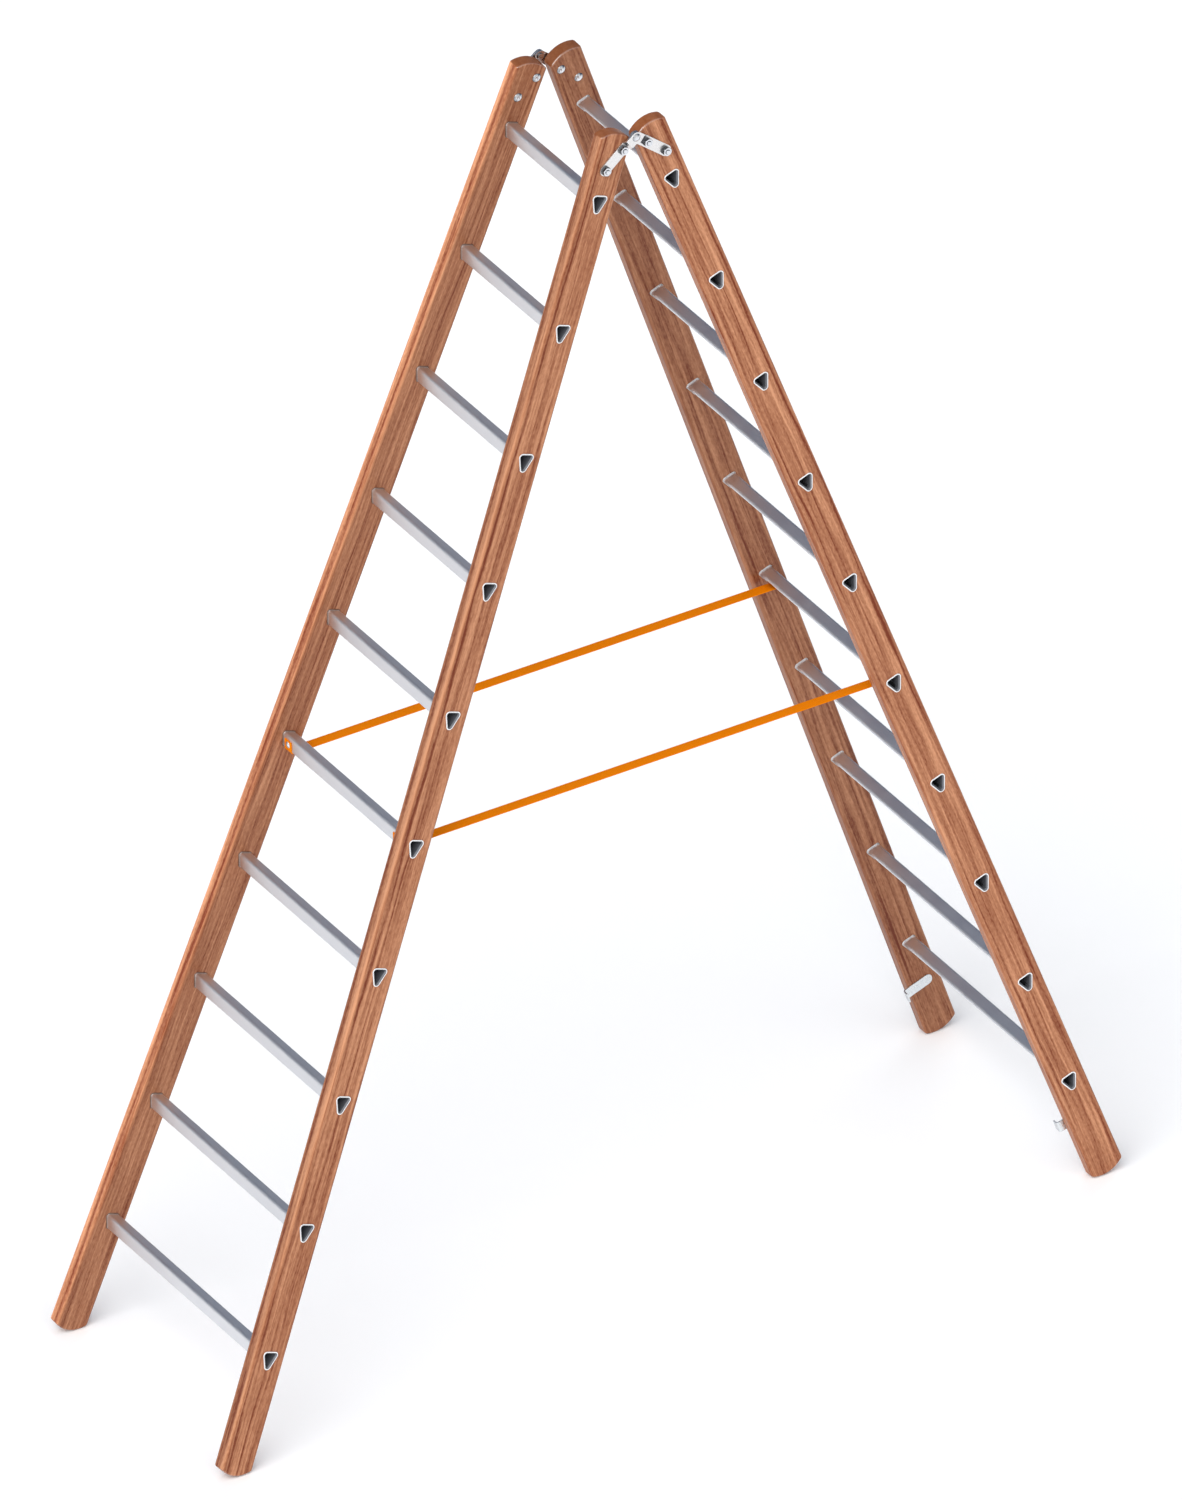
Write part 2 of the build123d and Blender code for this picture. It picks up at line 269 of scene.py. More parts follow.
@dataclass(frozen=True)
class BoardFrame:
    """Place of one board: x through its thickness, y across its depth, z along its length."""

    origin: Vector
    axes: Matrix

    @classmethod
    def of(cls, node: Object, flank: Flank, side: Side) -> BoardFrame:
        """Find a stile's own axes from its largest flat faces.

        Args:
            node: The stile.
            flank: The end of the rungs that it is at.
            side: The section that it belongs to.

        Returns:
            A frame in the middle of the board's outer face, with x out of the ladder, y away
            from the other section and z up the board or, on a mirrored board, down it.
        """
        through = cls.flat_face(node, Vector((flank.sign, 0, 0)))
        across = cls.flat_face(node, Vector((0, side.outward, 0)))
        along = through.cross(across).normalized()
        low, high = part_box(node.name)
        middle = (low + high) / 2
        reach = max((vertex.co - middle).dot(through) for vertex in node.data.vertices)
        axes = Matrix((through, along.cross(through), along)).transposed()
        return cls(middle + through * reach, axes)

    @staticmethod
    def flat_face(node: Object, towards: Vector) -> Vector:
        """Find the direction of the largest flat face on one side.

        Args:
            node: The piece.
            towards: Rough direction of the side.

        Returns:
            The face's own direction.
        """
        areas: dict[tuple[float, ...], float] = {}
        for polygon in node.data.polygons:
            if polygon.normal.dot(towards) > ROUGHLY_ALONG:
                key = tuple(round(value, 4) for value in polygon.normal)
                areas[key] = areas.get(key, 0.0) + polygon.area
        return Vector(max(areas, key=areas.get)).normalized()


@dataclass(frozen=True)
class BoardToneAndLight:
    """Lightness of one board's faces and of its narrow edges, beside an average board, partly
    painted light and shade.
    """

    face: float
    edge: float


@dataclass(frozen=True)
class Streaks:
    """Soft streaks along a board, or specks where they are short."""

    width: float
    length: float
    # Number that sets their places apart from those of the other streaks.
    seed: float
    # How much they change the board's lightness, or how far they push its grain aside.
    strength: float


@dataclass(frozen=True)
class VarnishedFir:
    """Varnished fir, planed and rounded.

    Flat-sawn boards show a few wavy bands along their whole length, pale early wood beside thin
    dark late wood, with fine fibres and specks between. Dark wood is redder than pale wood. The
    ends are darker, partly because end grain takes up more varnish and partly as painted shade.
    The varnish is thin and satin.
    """

    late_wood: str = "#702C0C"
    mid_wood: str = "#A66C4B"
    early_wood: str = "#CE926D"
    # Darker colour of the ends: end grain, and painted shade as well.
    end_grain_and_shade: str = "#8A4F2C"
    end_grain_and_shade_share: float = 0.85
    # Bands on a board's outer face, each with its place outward from the middle line and how much
    # paler or darker it is. Real rings are narrower, so they are drawn this coarse to show at all.
    bands: tuple[Range, ...] = (
        (-38 * MM, -0.05),
        (-29 * MM, 0.08),
        (-24 * MM, -0.10),
        (-20 * MM, 0.04),
        (-13 * MM, 0.0),
        (-11 * MM, -0.16),
        (-8 * MM, 0.06),
        (-2 * MM, 0.0),
        (1 * MM, -0.22),
        (5 * MM, 0.04),
        (17 * MM, 0.18),
        (23 * MM, 0.0),
        (27 * MM, -0.36),
        (31 * MM, -0.05),
        (38 * MM, 0.05),
    )
    # The same for the narrow edge that looks outward, by the depth below the outer face.
    edge_bands: tuple[Range, ...] = (
        (0 * MM, 0.35),
        (9 * MM, 0.15),
        (15 * MM, -0.05),
        (20 * MM, -0.33),
        (25 * MM, -0.1),
        (31 * MM, 0.15),
    )
    band_strength: float = 1.25
    # How much of the bands is left at the depth of a board's inner face.
    inner_bands: float = 0.25
    # The grain wanders across the board in long waves and in short ones.
    wander: tuple[Streaks, ...] = (
        Streaks(60 * MM, 280 * MM, 31, 4 * MM),
        Streaks(9 * MM, 110 * MM, 41, 2.5 * MM),
    )
    # The real fibres are finer than a pixel, so they are drawn this coarse to show at all.
    fibre: Streaks = Streaks(3.0 * MM, 100 * MM, 5, 1.3)
    streak: Streaks = Streaks(4.5 * MM, 600 * MM, 23, 0.9)
    speck: Streaks = Streaks(1.7 * MM, 5.0 * MM, 11, 0.8)
    mottle: Streaks = Streaks(60 * MM, 300 * MM, 17, 0.3)
    # Dark lines come where the noise of these streaks rises from the first value to the second.
    line: Streaks = Streaks(3.2 * MM, 420 * MM, 29, 0.65)
    line_edge: Range = (0.56, 0.68)
    line_tone: Range = (MIDDLE, 0.1)
    # How a seed shifts the noise along each axis.
    seed_shift: Triple = (1.0, 1.7, 0.3)
    roughness: float = 0.42
    roughness_swing: float = 0.05
    relief: float = 0.3 * MM
    relief_strength: float = 0.35
    specular: float = 0.2
    # The photograph has highlights where the ends are rounded off, so the varnish shines most there.
    # For those the coat's IOR is set above a real varnish's, which is about 1.5.
    coat: float = 0.02
    end_coat: float = 1.0
    coat_roughness: float = 0.15
    coat_ior: float = 2.1
    # How far a surface turns to a side to belong to it, as a cosine: where this starts and ends.
    edge_turn: Range = (0.5, 0.95)
    end_turn: Range = (0.35, 0.8)
    # The same for the rounding between the faces and the ends, which turns a little to both.
    rounded_face_turn: Range = (0.25, 0.5)
    rounded_end_turn: Range = (0.2, 0.45)

    def material(self, name: str, frame: BoardFrame, seed: float, tone: BoardToneAndLight) -> Material:
        """Make the finish for one board, with its grain along that board.

        Args:
            name: Name of the material.
            frame: Place of the board.
            seed: Number that sets this board's figure apart from the others.
            tone: Lightness of this board, partly painted light and shade.

        Returns:
            The material.
        """
        material, tree, shader = new_material(name)
        coords = add_node(tree, "ShaderNodeTexCoord")
        through, across, along = frame.axes.col
        board = add_node(
            tree,
            "ShaderNodeMapping",
            {
                "Vector": coords.outputs["Object"],
                "Location": frame.origin,
                "Rotation": frame.axes.to_euler(),
            },
            vector_type="TEXTURE",
        ).outputs["Vector"]
        grain = self.flow(tree, board, seed)
        edges = facing(tree, coords, across, self.edge_turn, either_way=False)
        fibres = self.noise(tree, grain, self.fibre, seed)
        lightness = self.add_up(
            tree,
            {
                self.figure(tree, grain, edges): self.band_strength,
                self.dark_lines(tree, grain, seed): self.line.strength,
                fibres: self.fibre.strength,
                self.noise(tree, grain, self.streak, seed): self.streak.strength,
                self.noise(tree, board, self.speck, seed): self.speck.strength,
                self.noise(tree, grain, self.mottle, seed): self.mottle.strength,
            },
        )
        wood = add_node(tree, "ShaderNodeValToRGB", {"Fac": lightness})
        stops = ((0.0, self.late_wood), (MIDDLE, self.mid_wood), (1.0, self.early_wood))
        set_ramp(wood, [(place, linear(colour)) for place, colour in stops])
        # The ends are darkened, partly as end grain and partly as painted shade.
        ends = add_node(
            tree,
            "ShaderNodeMath",
            {0: facing(tree, coords, along, self.end_turn), 1: self.end_grain_and_shade_share},
            operation="MULTIPLY",
        )
        with_ends = add_node(
            tree,
            "ShaderNodeMix",
            {
                MIX_SHARE: ends.outputs["Value"],
                MIX_FROM: wood.outputs["Color"],
                MIX_TO: linear(self.end_grain_and_shade),
            },
            data_type="RGBA",
        )
        # The board's faces and outward edge are scaled lighter or darker, partly as painted light
        # and shade.
        shade = add_node(
            tree, "ShaderNodeMapRange", {"Value": edges, "To Min": tone.face, "To Max": tone.edge}
        )
        finished = add_node(
            tree,
            "ShaderNodeVectorMath",
            {0: with_ends.outputs[MIXED], "Scale": shade.outputs["Result"]},
            operation="SCALE",
        )
        bump = add_node(
            tree,
            "ShaderNodeBump",
            {"Height": fibres, "Strength": self.relief_strength, "Distance": self.relief},
        )
        gloss = add_node(
            tree,
            "ShaderNodeMapRange",
            {
                "Value": lightness,
                "To Min": self.roughness - self.roughness_swing,
                "To Max": self.roughness + self.roughness_swing,
            },
        )
        rounded_off = add_node(
            tree,
            "ShaderNodeMath",
            {
                0: facing(tree, coords, through, self.rounded_face_turn),
                1: facing(tree, coords, along, self.rounded_end_turn),
            },
            operation="MULTIPLY",
        )
        coat = add_node(
            tree,
            "ShaderNodeMapRange",
            {"Value": rounded_off.outputs["Value"], "To Min": self.coat, "To Max": self.end_coat},
        )
        tree.links.new(finished.outputs["Vector"], shader.inputs["Base Color"])
        tree.links.new(gloss.outputs["Result"], shader.inputs["Roughness"])
        tree.links.new(bump.outputs["Normal"], shader.inputs["Normal"])
        tree.links.new(coat.outputs["Result"], shader.inputs["Coat Weight"])
        shader.inputs["Specular IOR Level"].default_value = self.specular
        shader.inputs["Coat Roughness"].default_value = self.coat_roughness
        shader.inputs["Coat IOR"].default_value = self.coat_ior
        return material

    def flow(self, tree: NodeTree, board: NodeSocket, seed: float) -> NodeSocket:
        """Let the grain wander across the board as it goes along.

        Args:
            tree: The node tree.
            board: Coordinates on the board.
            seed: Number that sets the course.

        Returns:
            Socket with coordinates that follow the grain.
        """
        for waves in self.wander:
            shift = add_node(
                tree,
                "ShaderNodeMapRange",
                {
                    "Value": self.noise(tree, board, waves, seed),
                    "From Min": NOISE_SWING[0],
                    "From Max": NOISE_SWING[1],
                    "To Min": -waves.strength,
                    "To Max": waves.strength,
                },
            )
            across = add_node(tree, "ShaderNodeCombineXYZ", {"Y": shift.outputs["Result"]})
            board = add_node(
                tree,
                "ShaderNodeVectorMath",
                {0: board, 1: across.outputs["Vector"]},
                operation="ADD",
            ).outputs["Vector"]
        return board

    def figure(self, tree: NodeTree, grain: NodeSocket, edges: NodeSocket) -> NodeSocket:
        """Bands of early and late wood along the board.

        Args:
            tree: The node tree.
            grain: Coordinates that follow the grain.
            edges: Socket with 1 on the narrow edge that looks outward, and 0 elsewhere.

        Returns:
            Socket with a value about one half, less in the late wood.
        """
        inward = (-1.0, 0.0, 0.0)
        face = self.band_ramp(tree, grain, AXIS_Y, self.bands)
        edge = self.band_ramp(tree, grain, inward, self.edge_bands)
        depth = add_node(
            tree, "ShaderNodeVectorMath", {0: grain, 1: inward}, operation="DOT_PRODUCT"
        )
        share = add_node(
            tree,
            "ShaderNodeMapRange",
            {
                "Value": depth.outputs["Value"],
                "From Max": self.edge_bands[-1][0],
                "To Min": 1.0,
                "To Max": self.inner_bands,
            },
        )
        faded = add_node(
            tree,
            "ShaderNodeMix",
            {
                MIX_SHARE: share.outputs["Result"],
                MIX_FROM: (MIDDLE, MIDDLE, MIDDLE, 1.0),
                MIX_TO: face,
            },
            data_type="RGBA",
        )
        return add_node(
            tree,
            "ShaderNodeMix",
            {MIX_SHARE: edges, MIX_FROM: faded.outputs[MIXED], MIX_TO: edge},
            data_type="RGBA",
        ).outputs[MIXED]

    def band_ramp(
        self, tree: NodeTree, grain: NodeSocket, axis: Triple, bands: tuple[Range, ...]
    ) -> NodeSocket:
        """Lay bands side by side along one axis of the board.

        Args:
            tree: The node tree.
            grain: Coordinates that follow the grain.
            axis: The axis.
            bands: Place of each band along the axis, and how much paler or darker it is.

        Returns:
            Socket with a grey about one half.
        """
        first, last = bands[0][0], bands[-1][0]
        along = add_node(
            tree, "ShaderNodeVectorMath", {0: grain, 1: axis}, operation="DOT_PRODUCT"
        )
        place = add_node(
            tree,
            "ShaderNodeMapRange",
            {"Value": along.outputs["Value"], "From Min": first, "From Max": last},
        )
        ramp = add_node(tree, "ShaderNodeValToRGB", {"Fac": place.outputs["Result"]})
        stops = []
        for spot, shift in bands:
            grey = MIDDLE + shift
            stops.append(((spot - first) / (last - first), (grey, grey, grey, 1.0)))
        set_ramp(ramp, stops)
        return ramp.outputs["Color"]

    def dark_lines(self, tree: NodeTree, grain: NodeSocket, seed: float) -> NodeSocket:
        """Thin dark lines along the board.

        Args:
            tree: The node tree.
            grain: Coordinates that follow the grain.
            seed: Number that sets the lines' places.

        Returns:
            Socket with one half, and less on the lines.
        """
        return add_node(
            tree,
            "ShaderNodeMapRange",
            {
                "Value": self.noise(tree, grain, self.line, seed),
                "From Min": self.line_edge[0],
                "From Max": self.line_edge[1],
                "To Min": self.line_tone[0],
                "To Max": self.line_tone[1],
            },
        ).outputs["Result"]

    def noise(self, tree: NodeTree, board: NodeSocket, streaks: Streaks, seed: float) -> NodeSocket:
        """Noise that is stretched to streaks along the board.

        Args:
            tree: The node tree.
            board: Coordinates on the board.
            streaks: The streaks.
            seed: The board's own number, which with the streaks' own sets their places.

        Returns:
            Socket with a value about one half.
        """
        place = seed + streaks.seed
        stretched = add_node(
            tree,
            "ShaderNodeVectorMath",
            {
                0: board,
                1: (1 / streaks.width, 1 / streaks.width, 1 / streaks.length),
                2: tuple(place * shift for shift in self.seed_shift),
            },
            operation="MULTIPLY_ADD",
        )
        noise = add_node(
            tree,
            "ShaderNodeTexNoise",
            {"Vector": stretched.outputs["Vector"], "Scale": WAVES_IN_STREAK, "Detail": 3.0},
        )
        return noise.outputs["Fac"]

    def add_up(self, tree: NodeTree, patterns: dict[NodeSocket, float]) -> NodeSocket:
        """Add patterns up to one lightness.

        Args:
            tree: The node tree.
            patterns: Patterns about one half, each with the share that it has.

        Returns:
            Socket with a value about one half.
        """
        total: NodeSocket | float = MIDDLE - MIDDLE * sum(patterns.values())
        for pattern, share in patterns.items():
            total = add_node(
                tree, "ShaderNodeMath", {0: pattern, 1: share, 2: total}, operation="MULTIPLY_ADD"
            ).outputs["Value"]
        return total


@dataclass(frozen=True)
class MillAluminium:
    """Extruded aluminium with its mill finish, as a rung.

    The die leaves fine lines along the extrusion, which stretch the reflections across it. What
    the swaging tool pressed, the rims and the collars, has a tone of its own; a brown collar tone
    is a painted reflection of the timber. The bore is dull.
    """

    name: str
    # The collars' colour. A brown one is a painted reflection of the timber beside them.
    collar_colour_and_reflection: str
    # Less than one makes the collars matt and white.
    collar_metallic: float = 1.0
    colour: str = "#E5E6E9"
    rim_colour: str = "#FAFBFC"
    bore_colour: str = "#66686E"
    bore_metallic: float = 0.3
    roughness: float = 0.47
    roughness_swing: float = 0.07
    stretch: float = 0.6
    # Real die lines are a few hundredths wide, so they are drawn this coarse to show at all.
    line_width: float = 0.7 * MM
    line_length: float = 400 * MM
    cloud_size: float = 45 * MM
    relief: float = 0.02 * MM
    relief_strength: float = 0.5
    # The corners look softer in the photograph than their radius, so shading rounds them further.
    soft_corner: float = 9 * MM
    # Half of the share of a rung's length that lies between its ends.
    half_stretch: float = 0.475
    # How far a pressed surface turns along the rung, as a cosine: where this starts and ends.
    pressed_turn: Range = (0.4, 0.8)
    # A surface that looks away from the rung's middle line by less than this is in the bore.
    bore_limit: float = -0.03

    def material(self) -> Material:
        """Make the finish.

        Returns:
            The material.
        """
        material, tree, shader = new_material(self.name)
        coords = add_node(tree, "ShaderNodeTexCoord")
        stretched = add_node(
            tree,
            "ShaderNodeVectorMath",
            {
                0: coords.outputs["Object"],
                1: (1 / self.line_length, 1 / self.line_width, 1 / self.line_width),
            },
            operation="MULTIPLY",
        )
        lines = add_node(
            tree,
            "ShaderNodeTexNoise",
            {"Vector": stretched.outputs["Vector"], "Scale": WAVES_IN_STREAK, "Detail": 2.0},
        )
        clouds = add_node(
            tree,
            "ShaderNodeTexNoise",
            {"Vector": coords.outputs["Object"], "Scale": 1 / self.cloud_size, "Detail": 3.0},
        )
        both = add_node(
            tree,
            "ShaderNodeMath",
            {0: lines.outputs["Fac"], 1: clouds.outputs["Fac"]},
            operation="ADD",
        )
        roughness = add_node(
            tree,
            "ShaderNodeMapRange",
            {
                "Value": both.outputs["Value"],
                "From Min": 2 * NOISE_SWING[0],
                "From Max": 2 * NOISE_SWING[1],
                "To Min": self.roughness - self.roughness_swing,
                "To Max": self.roughness + self.roughness_swing,
            },
        )
        between = self.between_ends(tree, coords)
        softness = add_node(
            tree, "ShaderNodeMapRange", {"Value": between, "To Max": self.soft_corner}
        )
        corners = add_node(
            tree, "ShaderNodeBevel", {"Radius": softness.outputs["Result"]}, samples=6
        )
        bump = add_node(
            tree,
            "ShaderNodeBump",
            {
                "Height": lines.outputs["Fac"],
                "Strength": self.relief_strength,
                "Distance": self.relief,
                "Normal": corners.outputs["Normal"],
            },
        )
        bore = self.bore(tree, coords)
        pressed = facing(tree, coords, AXIS_X, self.pressed_turn)
        swaged = add_node(
            tree,
            "ShaderNodeMix",
            {
                MIX_SHARE: between,
                MIX_FROM: linear(self.rim_colour),
                MIX_TO: linear(self.collar_colour_and_reflection),
            },
            data_type="RGBA",
        )
        outside = add_node(
            tree,
            "ShaderNodeMix",
            {MIX_SHARE: pressed, MIX_FROM: linear(self.colour), MIX_TO: swaged.outputs[MIXED]},
            data_type="RGBA",
        )
        colour = add_node(
            tree,
            "ShaderNodeMix",
            {MIX_SHARE: bore, MIX_FROM: outside.outputs[MIXED], MIX_TO: linear(self.bore_colour)},
            data_type="RGBA",
        )
        bare = add_node(
            tree, "ShaderNodeMapRange", {"Value": bore, "To Min": 1.0, "To Max": self.bore_metallic}
        )
        collar = add_node(tree, "ShaderNodeMath", {0: pressed, 1: between}, operation="MULTIPLY")
        metallic = add_node(
            tree,
            "ShaderNodeMath",
            {
                0: collar.outputs["Value"],
                1: self.collar_metallic - 1,
                2: bare.outputs["Result"],
            },
            operation="MULTIPLY_ADD",
        )
        across = add_node(tree, "ShaderNodeTangent", direction_type="RADIAL", axis="X")
        tree.links.new(colour.outputs[MIXED], shader.inputs["Base Color"])
        tree.links.new(metallic.outputs["Value"], shader.inputs["Metallic"])
        tree.links.new(roughness.outputs["Result"], shader.inputs["Roughness"])
        tree.links.new(bump.outputs["Normal"], shader.inputs["Normal"])
        tree.links.new(across.outputs["Tangent"], shader.inputs["Tangent"])
        shader.inputs["Anisotropic"].default_value = self.stretch
        return material

    def between_ends(self, tree: NodeTree, coords: Node) -> NodeSocket:
        """Tell the stretch between the stiles from the ends of the rung.

        Args:
            tree: The node tree.
            coords: The texture coordinate node.

        Returns:
            Socket with 1 between the ends, and 0 at them.
        """
        along = add_node(
            tree,
            "ShaderNodeVectorMath",
            {0: coords.outputs["Generated"], 1: AXIS_X},
            operation="DOT_PRODUCT",
        )
        return add_node(
            tree,
            "ShaderNodeMath",
            {0: along.outputs["Value"], 1: MIDDLE, 2: self.half_stretch},
            operation="COMPARE",
        ).outputs["Value"]

    def bore(self, tree: NodeTree, coords: Node) -> NodeSocket:
        """Tell the dull inside of the tube from its outside.

        Args:
            tree: The node tree.
            coords: The texture coordinate node.

        Returns:
            Socket with 1 on faces that look towards the rung's middle line, and 0 elsewhere.
        """
        spoke = add_node(
            tree,
            "ShaderNodeVectorMath",
            {0: coords.outputs["Generated"], 1: (0.0, 1.0, 1.0), 2: (0.0, -MIDDLE, -MIDDLE)},
            operation="MULTIPLY_ADD",
        )
        outward = add_node(
            tree,
            "ShaderNodeVectorMath",
            {0: spoke.outputs["Vector"], 1: coords.outputs["Normal"]},
            operation="DOT_PRODUCT",
        )
        return add_node(
            tree,
            "ShaderNodeMath",
            {0: outward.outputs["Value"], 1: self.bore_limit},
            operation="LESS_THAN",
        ).outputs["Value"]


@dataclass(frozen=True)
class BrightMetal:
    """Bright metal of the small ironwork: pressed steel with a zinc plating, or bare aluminium.

    It is pale and slightly clouded, and its sheared edges are rounded. Its flanks, the surfaces
    that do not look along X, are painted darker as shade, on nuts and bolts much darker than the
    faces.
    """

    name: str
    colour: str
    flank_shade_colour: str
    roughness: float = 0.27
    # Where the flanks' painted shade ends and the faces' colour begins, as the cosine of a surface's
    # turn.
    flank_shade_turn: Range = (0.3, 0.7)
    roughness_swing: float = 0.08
    cloud_size: float = 9 * MM
    edge_radius: float = 0.5 * MM

    def material(self) -> Material:
        """Make the finish.

        Returns:
            The material.
        """
        material, tree, shader = new_material(self.name)
        coords = add_node(tree, "ShaderNodeTexCoord")
        clouds = add_node(
            tree,
            "ShaderNodeTexNoise",
            {
                "Vector": coords.outputs["Object"],
                "Scale": 1 / self.cloud_size,
                "Detail": 4.0,
                "Roughness": 0.6,
            },
        )
        roughness = add_node(
            tree,
            "ShaderNodeMapRange",
            {
                "Value": clouds.outputs["Fac"],
                "From Min": NOISE_SWING[0],
                "From Max": NOISE_SWING[1],
                "To Min": self.roughness - self.roughness_swing,
                "To Max": self.roughness + self.roughness_swing,
            },
        )
        edges = add_node(tree, "ShaderNodeBevel", {"Radius": self.edge_radius}, samples=4)
        # The flanks' darker colour is painted shade.
        face = facing(tree, coords, AXIS_X, self.flank_shade_turn)
        colour = add_node(
            tree,
            "ShaderNodeMix",
            {MIX_SHARE: face, MIX_FROM: linear(self.flank_shade_colour), MIX_TO: linear(self.colour)},
            data_type="RGBA",
        )
        tree.links.new(colour.outputs[MIXED], shader.inputs["Base Color"])
        tree.links.new(roughness.outputs["Result"], shader.inputs["Roughness"])
        tree.links.new(edges.outputs["Normal"], shader.inputs["Normal"])
        shader.inputs["Metallic"].default_value = 1.0
        return material


@dataclass(frozen=True)
class PolyesterWebbing:
    """Woven polyester webbing, dyed orange.

    Ribs of weft cross the strap, and the warp shows as fine lines along it.
    """

    colour: str = "#F08600"
    shadow: str = "#D26E00"
    # Height of the weave, from 0 to 1, above which the yarn shows no shadow.
    shadow_top: float = 0.45
    # Real ribs are about a millimetre apart, so they are drawn this coarse to show at all.
    rib_spacing: float = 2.4 * MM
    warp_spacing: float = 1.6 * MM
    roughness: float = 0.72
    specular: float = 0.05
    relief: float = 0.3 * MM
    relief_strength: float = 0.6

    def material(self) -> Material:
        """Make the finish. Its pattern follows the strap's own map, in metres.

        Returns:
            The material.
        """
        material, tree, shader = new_material("orange_polyester_webbing")
        coords = add_node(tree, "ShaderNodeTexCoord")
        ribs, warp = (
            add_node(
                tree,
                "ShaderNodeTexWave",
                {"Vector": coords.outputs["UV"], "Scale": WAVE_LENGTH / spacing},
                bands_direction=direction,
            )
            for direction, spacing in (("Y", self.rib_spacing), ("X", self.warp_spacing))
        )
        weave = add_node(
            tree,
            "ShaderNodeMath",
            {0: ribs.outputs["Fac"], 1: warp.outputs["Fac"]},
            operation="MULTIPLY",
        )
        colour = add_node(tree, "ShaderNodeValToRGB", {"Fac": weave.outputs["Value"]})
        set_ramp(colour, [(0.0, linear(self.shadow)), (self.shadow_top, linear(self.colour))])
        bump = add_node(
            tree,
            "ShaderNodeBump",
            {
                "Height": weave.outputs["Value"],
                "Strength": self.relief_strength,
                "Distance": self.relief,
            },
        )
        tree.links.new(colour.outputs["Color"], shader.inputs["Base Color"])
        tree.links.new(bump.outputs["Normal"], shader.inputs["Normal"])
        shader.inputs["Roughness"].default_value = self.roughness
        shader.inputs["Specular IOR Level"].default_value = self.specular
        return material


@dataclass
class FlaredRung:
    """A rung with both of its mouths opened a little, as the swaging tool leaves them.

    It keeps every surface of its node, which has the plain tube with its rims. Only the bore is
    shortened and the rim's face narrowed, and a sloping ring joins the two.
    """

    side: Side
    number: int
    flare_width: float = 2.8 * MM
    flare_depth: float = 2.6 * MM
    # The end face is tilted with the stile, so it lies within this distance of the rung's tip.
    tip: float = 10 * MM
    # Cosines of the turn within which a face looks along the rung, or lies in one plane.
    end_turn: float = 0.99
    plane_turn: float = 0.9999

    @property
    def node(self) -> str:
        """Name of the node that the rung stands for."""
        return f"{self.side.value}_rung_{self.number:02d}"

    def build(self, frame: dict[str, Any], material: Material) -> None:
        """Make the rung from its node, in the node's place.

        Args:
            frame: The loaded frame.
            material: Finish of the rung.
        """
        mesh = bmesh.new()
        mesh.from_mesh(frame["nodes"][self.node].data)
        for flank in Flank:
            self.open_mouth(mesh, Vector((flank.sign, 0, 0)))
        rung = make_object(f"{self.node}_flared", mesh, material)
        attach(rung, self.side.body)
        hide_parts(self.node)
        LOG.info("%s has %s", rung.name, material.name)

    def open_mouth(self, mesh: BMesh, along: Vector) -> None:
        """Widen one mouth of the tube.

        Args:
            mesh: The rung, whose end face shares no vertex with its bore.
            along: Direction of the rung out of that mouth.
        """
        spread = self.spread(mesh, along)
        bore = {tuple(vertex.co): vertex.co - along * self.flare_depth for vertex in spread}
        slope = {}
        for vertex, way in spread.items():
            inner = mesh.verts.new(bore[tuple(vertex.co)])
            slope[vertex] = (inner, mesh.verts.new(vertex.co + way * self.flare_width))
        edges = {edge for vertex in spread for edge in vertex.link_edges if edge.is_boundary}
        for edge in edges:
            (inner, outer), (next_inner, next_outer) = (slope[vertex] for vertex in edge.verts)
            face = mesh.faces.new((inner, next_inner, next_outer, outer))
            face.smooth = True
            face.normal_update()
            if face.normal.dot(along) < 0:
                face.normal_flip()
        new_places = {vertex: slope[vertex][1].co.copy() for vertex in spread}
        made = {vertex for pair in slope.values() for vertex in pair}
        for vertex in mesh.verts:
            if vertex not in made:
                vertex.co = new_places.get(vertex, bore.get(tuple(vertex.co), vertex.co))

    def spread(self, mesh: BMesh, along: Vector) -> dict[BMVert, Vector]:
        """Find the inner edge of an end face, and the way in which each of its points moves.

        Args:
            mesh: The rung.
            along: Direction of the rung out of that end.

        Returns:
            The points, each with its way outward on the end face for every unit of widening.
        """
        tip = max(vertex.co.dot(along) for vertex in mesh.verts) - self.tip
        ends = [
            face
            for face in mesh.faces
            if face.normal.dot(along) > self.end_turn
            and face.calc_center_median().dot(along) > tip
        ]
        flat = max(ends, key=BMFace.calc_area).normal
        rim = [face for face in ends if face.normal.dot(flat) > self.plane_turn]
        points = {vertex for face in rim for vertex in face.verts}
        centre = sum((vertex.co for vertex in points), Vector()) / len(points)
        ways: dict[BMVert, Vector] = {}
        for face in rim:
            for edge in face.edges:
                first, last = edge.verts
                way = face.normal.cross(last.co - first.co).normalized()
                if way.dot(face.calc_center_median() - first.co) < 0:
                    way.negate()
                if edge.is_boundary and way.dot(first.co - centre) > 0:
                    for vertex in edge.verts:
                        ways[vertex] = ways.get(vertex, Vector()) + way
        return {vertex: way * 2 / way.length_squared for vertex, way in ways.items()}


